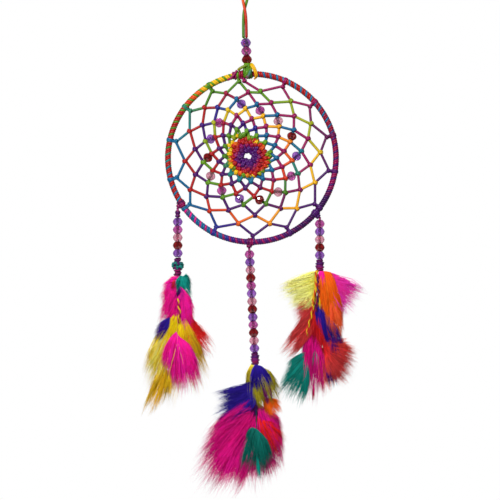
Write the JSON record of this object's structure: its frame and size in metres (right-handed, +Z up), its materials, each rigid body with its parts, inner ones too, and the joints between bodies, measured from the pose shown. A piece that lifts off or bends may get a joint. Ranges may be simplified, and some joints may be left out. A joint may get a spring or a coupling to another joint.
{
  "type": "dream catcher",
  "caption": "Dream catcher: cord-wrapped wire hoop with a hand-tied, beaded web, a beaded hanging loop and three beaded tails ending in bunches of dyed feathers.",
  "frame": {"origin": "inside of the hanging loop's crown, where it rests on its nail", "axes": "+Z up, +X across the hoop to the right seen from the front, -Y towards the viewer, the web's front side"},
  "size_m": [0.2201, 0.0168, 0.5063],
  "materials": {
    "hoop_wire": "plain drawn steel wire",
    "wrap_cord": "satin cord, space-dyed from yellow and green through red and blue to purple",
    "lashing_cord": "magenta satin cord",
    "loop_cord": "satin cord, dyed orange, red and green",
    "knot_cord": "satin cord, dyed green and yellow",
    "tail_cord": "satin cord, plum and magenta",
    "web_cord_plum": "satin cord, space-dyed",
    "web_cord_red": "satin cord, space-dyed",
    "web_cord_purple": "satin cord, space-dyed",
    "web_cord_green": "satin cord, space-dyed",
    "web_cord_yellow": "satin cord, space-dyed",
    "web_cord_violet": "satin cord, space-dyed",
    "web_cord_blue": "satin cord, space-dyed",
    "rosette_cord": "close hitches of satin cord, dyed yellow, red and purple",
    "bead_violet": "transparent faceted acrylic",
    "bead_magenta": "transparent faceted acrylic",
    "bead_pink": "transparent faceted acrylic",
    "bead_red": "transparent faceted acrylic",
    "feather_magenta": "dyed turkey marabou feather, fluffy barbs",
    "feather_indigo": "dyed turkey marabou feather, fluffy barbs",
    "feather_teal": "dyed turkey marabou feather, fluffy barbs",
    "feather_violet": "dyed turkey marabou feather, fluffy barbs",
    "feather_red": "dyed turkey marabou feather, fluffy barbs",
    "feather_yellow": "dyed turkey marabou feather, fluffy barbs",
    "feather_pink": "dyed turkey marabou feather, fluffy barbs",
    "feather_blue": "dyed turkey marabou feather, fluffy barbs",
    "feather_olive": "dyed turkey marabou feather, fluffy barbs",
    "feather_orange": "dyed turkey marabou feather, fluffy barbs",
    "feather_coral": "dyed turkey marabou feather, fluffy barbs",
    "feather_rose": "dyed turkey marabou feather, fluffy barbs"
  },
  "bodies": {
    "hanger": {"hanger_bead_pink": "bead_pink", "hanger_bead_red": "bead_red", "hanger_bead_violet": "bead_violet", "hanger_core": "loop_cord", "hanging_loop": "loop_cord"},
    "top_knot": {"top_knot": "knot_cord"},
    "hoop": {"hoop_ring": "hoop_wire", "hoop_wrap": "wrap_cord", "left_hitch": "tail_cord", "middle_hitch": "tail_cord", "right_hitch": "tail_cord", "splice_lashing": "lashing_cord", "web_beads_magenta": "bead_magenta", "web_beads_pink": "bead_pink", "web_beads_red": "bead_red", "web_beads_violet": "bead_violet", "web_hoop_hitches": "wrap_cord", "web_rosette": "rosette_cord", "web_round_1": "web_cord_plum", "web_round_2": "web_cord_red", "web_round_3": "web_cord_purple", "web_round_4": "web_cord_green", "web_round_5": "web_cord_yellow", "web_round_6": "web_cord_violet", "web_round_7": "web_cord_blue"},
    "left_neck": {"left_neck": "tail_cord"},
    "left_string": {"left_tail_cord": "tail_cord", "left_tail_beads": "bead_violet"},
    "left_feathers": {"left_binding": "tail_cord", "left_feather_indigo": "feather_indigo", "left_feather_magenta": "feather_magenta", "left_feather_pink": "feather_pink", "left_feather_red": "feather_red", "left_feather_teal": "feather_teal", "left_feather_violet": "feather_violet", "left_feather_yellow": "feather_yellow"},
    "middle_neck": {"middle_neck": "tail_cord"},
    "middle_string": {"middle_tail_cord": "tail_cord", "middle_tail_beads": "bead_violet"},
    "middle_feathers": {"middle_binding": "tail_cord", "middle_feather_blue": "feather_blue", "middle_feather_indigo": "feather_indigo", "middle_feather_magenta": "feather_magenta", "middle_feather_olive": "feather_olive", "middle_feather_orange": "feather_orange", "middle_feather_rose": "feather_rose", "middle_feather_teal": "feather_teal"},
    "right_neck": {"right_neck": "tail_cord"},
    "right_string": {"right_tail_cord": "tail_cord", "right_tail_beads": "bead_violet"},
    "right_feathers": {"right_binding": "tail_cord", "right_feather_coral": "feather_coral", "right_feather_indigo": "feather_indigo", "right_feather_magenta": "feather_magenta", "right_feather_orange": "feather_orange", "right_feather_pink": "feather_pink", "right_feather_red": "feather_red", "right_feather_teal": "feather_teal", "right_feather_yellow": "feather_yellow"}
  },
  "joints": [
    {"name": "hoop_twist", "type": "hinge", "parent": "hanger", "child": "top_knot", "pos_m": [0.0022, 0, -0.0795], "axis": [0, 0, 1], "range_deg": [-180, 180]},
    {"name": "hoop_tilt", "type": "hinge", "parent": "top_knot", "child": "hoop", "pos_m": [0.0032, 0, -0.08809], "axis": [1, 0, 0], "range_deg": [-25, 25]},
    {"name": "left_fore_aft", "type": "hinge", "parent": "hoop", "child": "left_neck", "pos_m": [-0.06728, 0, -0.2223], "axis": [1, 0, 0], "range_deg": [-60, 60]},
    {"name": "left_sideways", "type": "hinge", "parent": "left_neck", "child": "left_string", "pos_m": [-0.06728, 0, -0.2223], "axis": [0, -1, 0], "range_deg": [-45, 3]},
    {"name": "left_feathers_twist", "type": "hinge", "parent": "left_string", "child": "left_feathers", "pos_m": [-0.06728, 0, -0.27115], "axis": [0, 0, 1], "range_deg": [-90, 90]},
    {"name": "middle_fore_aft", "type": "hinge", "parent": "hoop", "child": "middle_neck", "pos_m": [0.00421, 0, -0.26235], "axis": [1, 0, 0], "range_deg": [-60, 60]},
    {"name": "middle_sideways", "type": "hinge", "parent": "middle_neck", "child": "middle_string", "pos_m": [0.00421, 0, -0.26235], "axis": [0, -1, 0], "range_deg": [-3, 3]},
    {"name": "middle_feathers_twist", "type": "hinge", "parent": "middle_string", "child": "middle_feathers", "pos_m": [0.00966, 0, -0.36631], "axis": [-0.0523, 0, 0.9986], "range_deg": [-90, 90]},
    {"name": "right_fore_aft", "type": "hinge", "parent": "hoop", "child": "right_neck", "pos_m": [0.07474, 0, -0.23186], "axis": [1, 0, 0], "range_deg": [-60, 60]},
    {"name": "right_sideways", "type": "hinge", "parent": "right_neck", "child": "right_string", "pos_m": [0.07474, 0, -0.23186], "axis": [0, -1, 0], "range_deg": [-3, 45]},
    {"name": "right_feathers_twist", "type": "hinge", "parent": "right_string", "child": "right_feathers", "pos_m": [0.07474, 0, -0.27316], "axis": [0, 0, 1], "range_deg": [-90, 90]}
  ]
}
